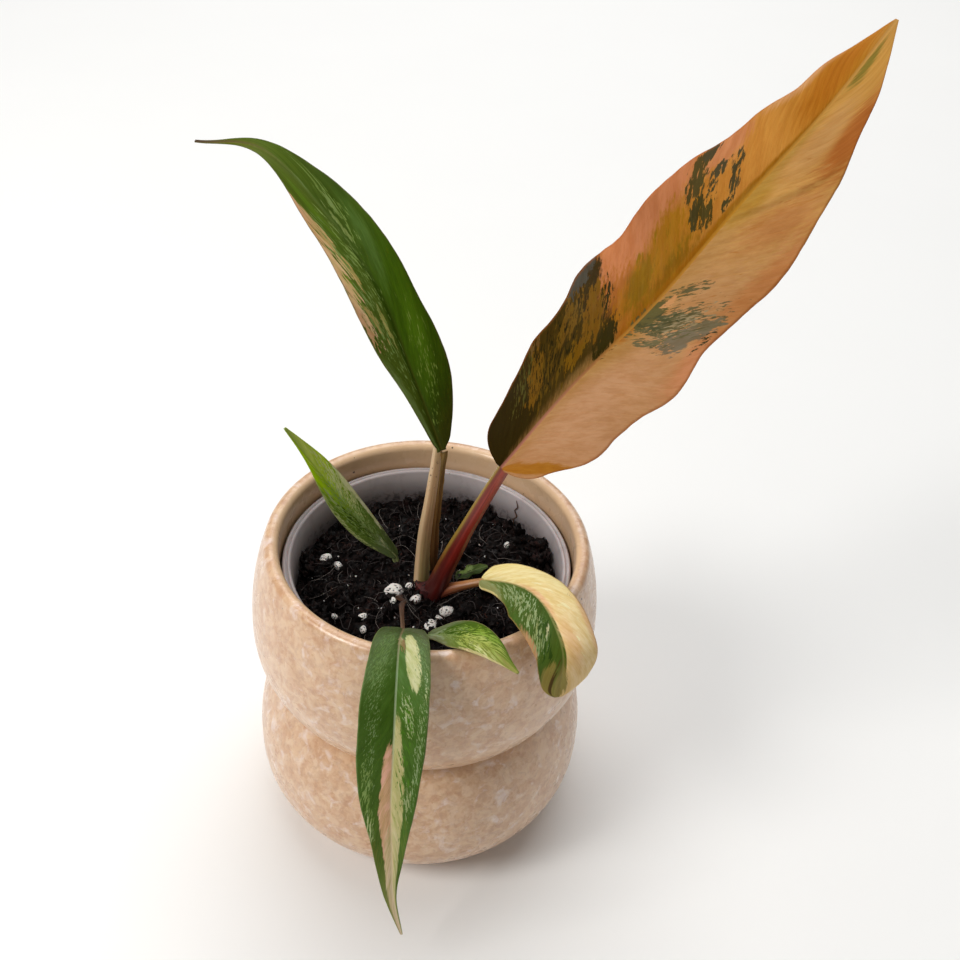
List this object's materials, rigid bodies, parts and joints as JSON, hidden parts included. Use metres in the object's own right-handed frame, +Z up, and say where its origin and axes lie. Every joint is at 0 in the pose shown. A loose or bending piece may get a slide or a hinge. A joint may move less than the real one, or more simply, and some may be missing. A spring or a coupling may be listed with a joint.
{
  "type": "potted caramel marble philodendron",
  "caption": "Young marbled aroid with long variegated leaves, in a nursery pot that stands inside a double-bulb glazed cover pot.",
  "frame": {"origin": "middle of the cover pot's foot, on the surface it stands on", "axes": "+Z up along the pot's axis; -Y is the side that the long hanging leaf falls over; the big caramel leaf leans to +X"},
  "size_m": [0.1917, 0.1409, 0.2704],
  "materials": {
    "glazed_pot": "glossy cream and peach mottled glaze",
    "nursery_plastic": "thin milky white plastic",
    "soil": "crumbly dark peat and bark",
    "crown": "red-purple, slightly rough",
    "red_stalk": "satin red with a green-yellow edge",
    "tan_stalk": "satin tan",
    "green_stalk": "satin green",
    "dry_sheath": "dry brown, papery",
    "caramel_leaf": "satin caramel and peach with dark green patches",
    "green_leaf": "semi-gloss green with cream and pink marbling",
    "cream_leaf": "satin cream and green",
    "perlite": "white, chalky and pitted"
  },
  "bodies": {
    "root": {"ceramic_pot": "glazed_pot", "nursery_pot": "nursery_plastic", "soil": "soil", "crown": "crown", "caramel_stalk": "red_stalk", "arching_stalk": "tan_stalk", "curled_stalk": "tan_stalk", "front_stalk": "tan_stalk", "left_stalk": "green_stalk", "right_stalk": "green_stalk", "dried_sheath": "dry_sheath", "caramel_blade": "caramel_leaf", "arching_blade": "green_leaf", "left_blade": "green_leaf", "front_blade": "green_leaf", "right_blade": "green_leaf", "curled_blade": "cream_leaf", "leaf_scrap": "green_leaf", "perlite_1": "perlite", "perlite_2": "perlite", "perlite_3": "perlite", "perlite_4": "perlite", "perlite_5": "perlite", "perlite_6": "perlite", "perlite_7": "perlite", "perlite_8": "perlite", "perlite_9": "perlite", "perlite_10": "perlite", "perlite_11": "perlite", "perlite_12": "perlite", "perlite_13": "perlite", "perlite_14": "perlite", "perlite_15": "perlite"}
  },
  "joints": []
}
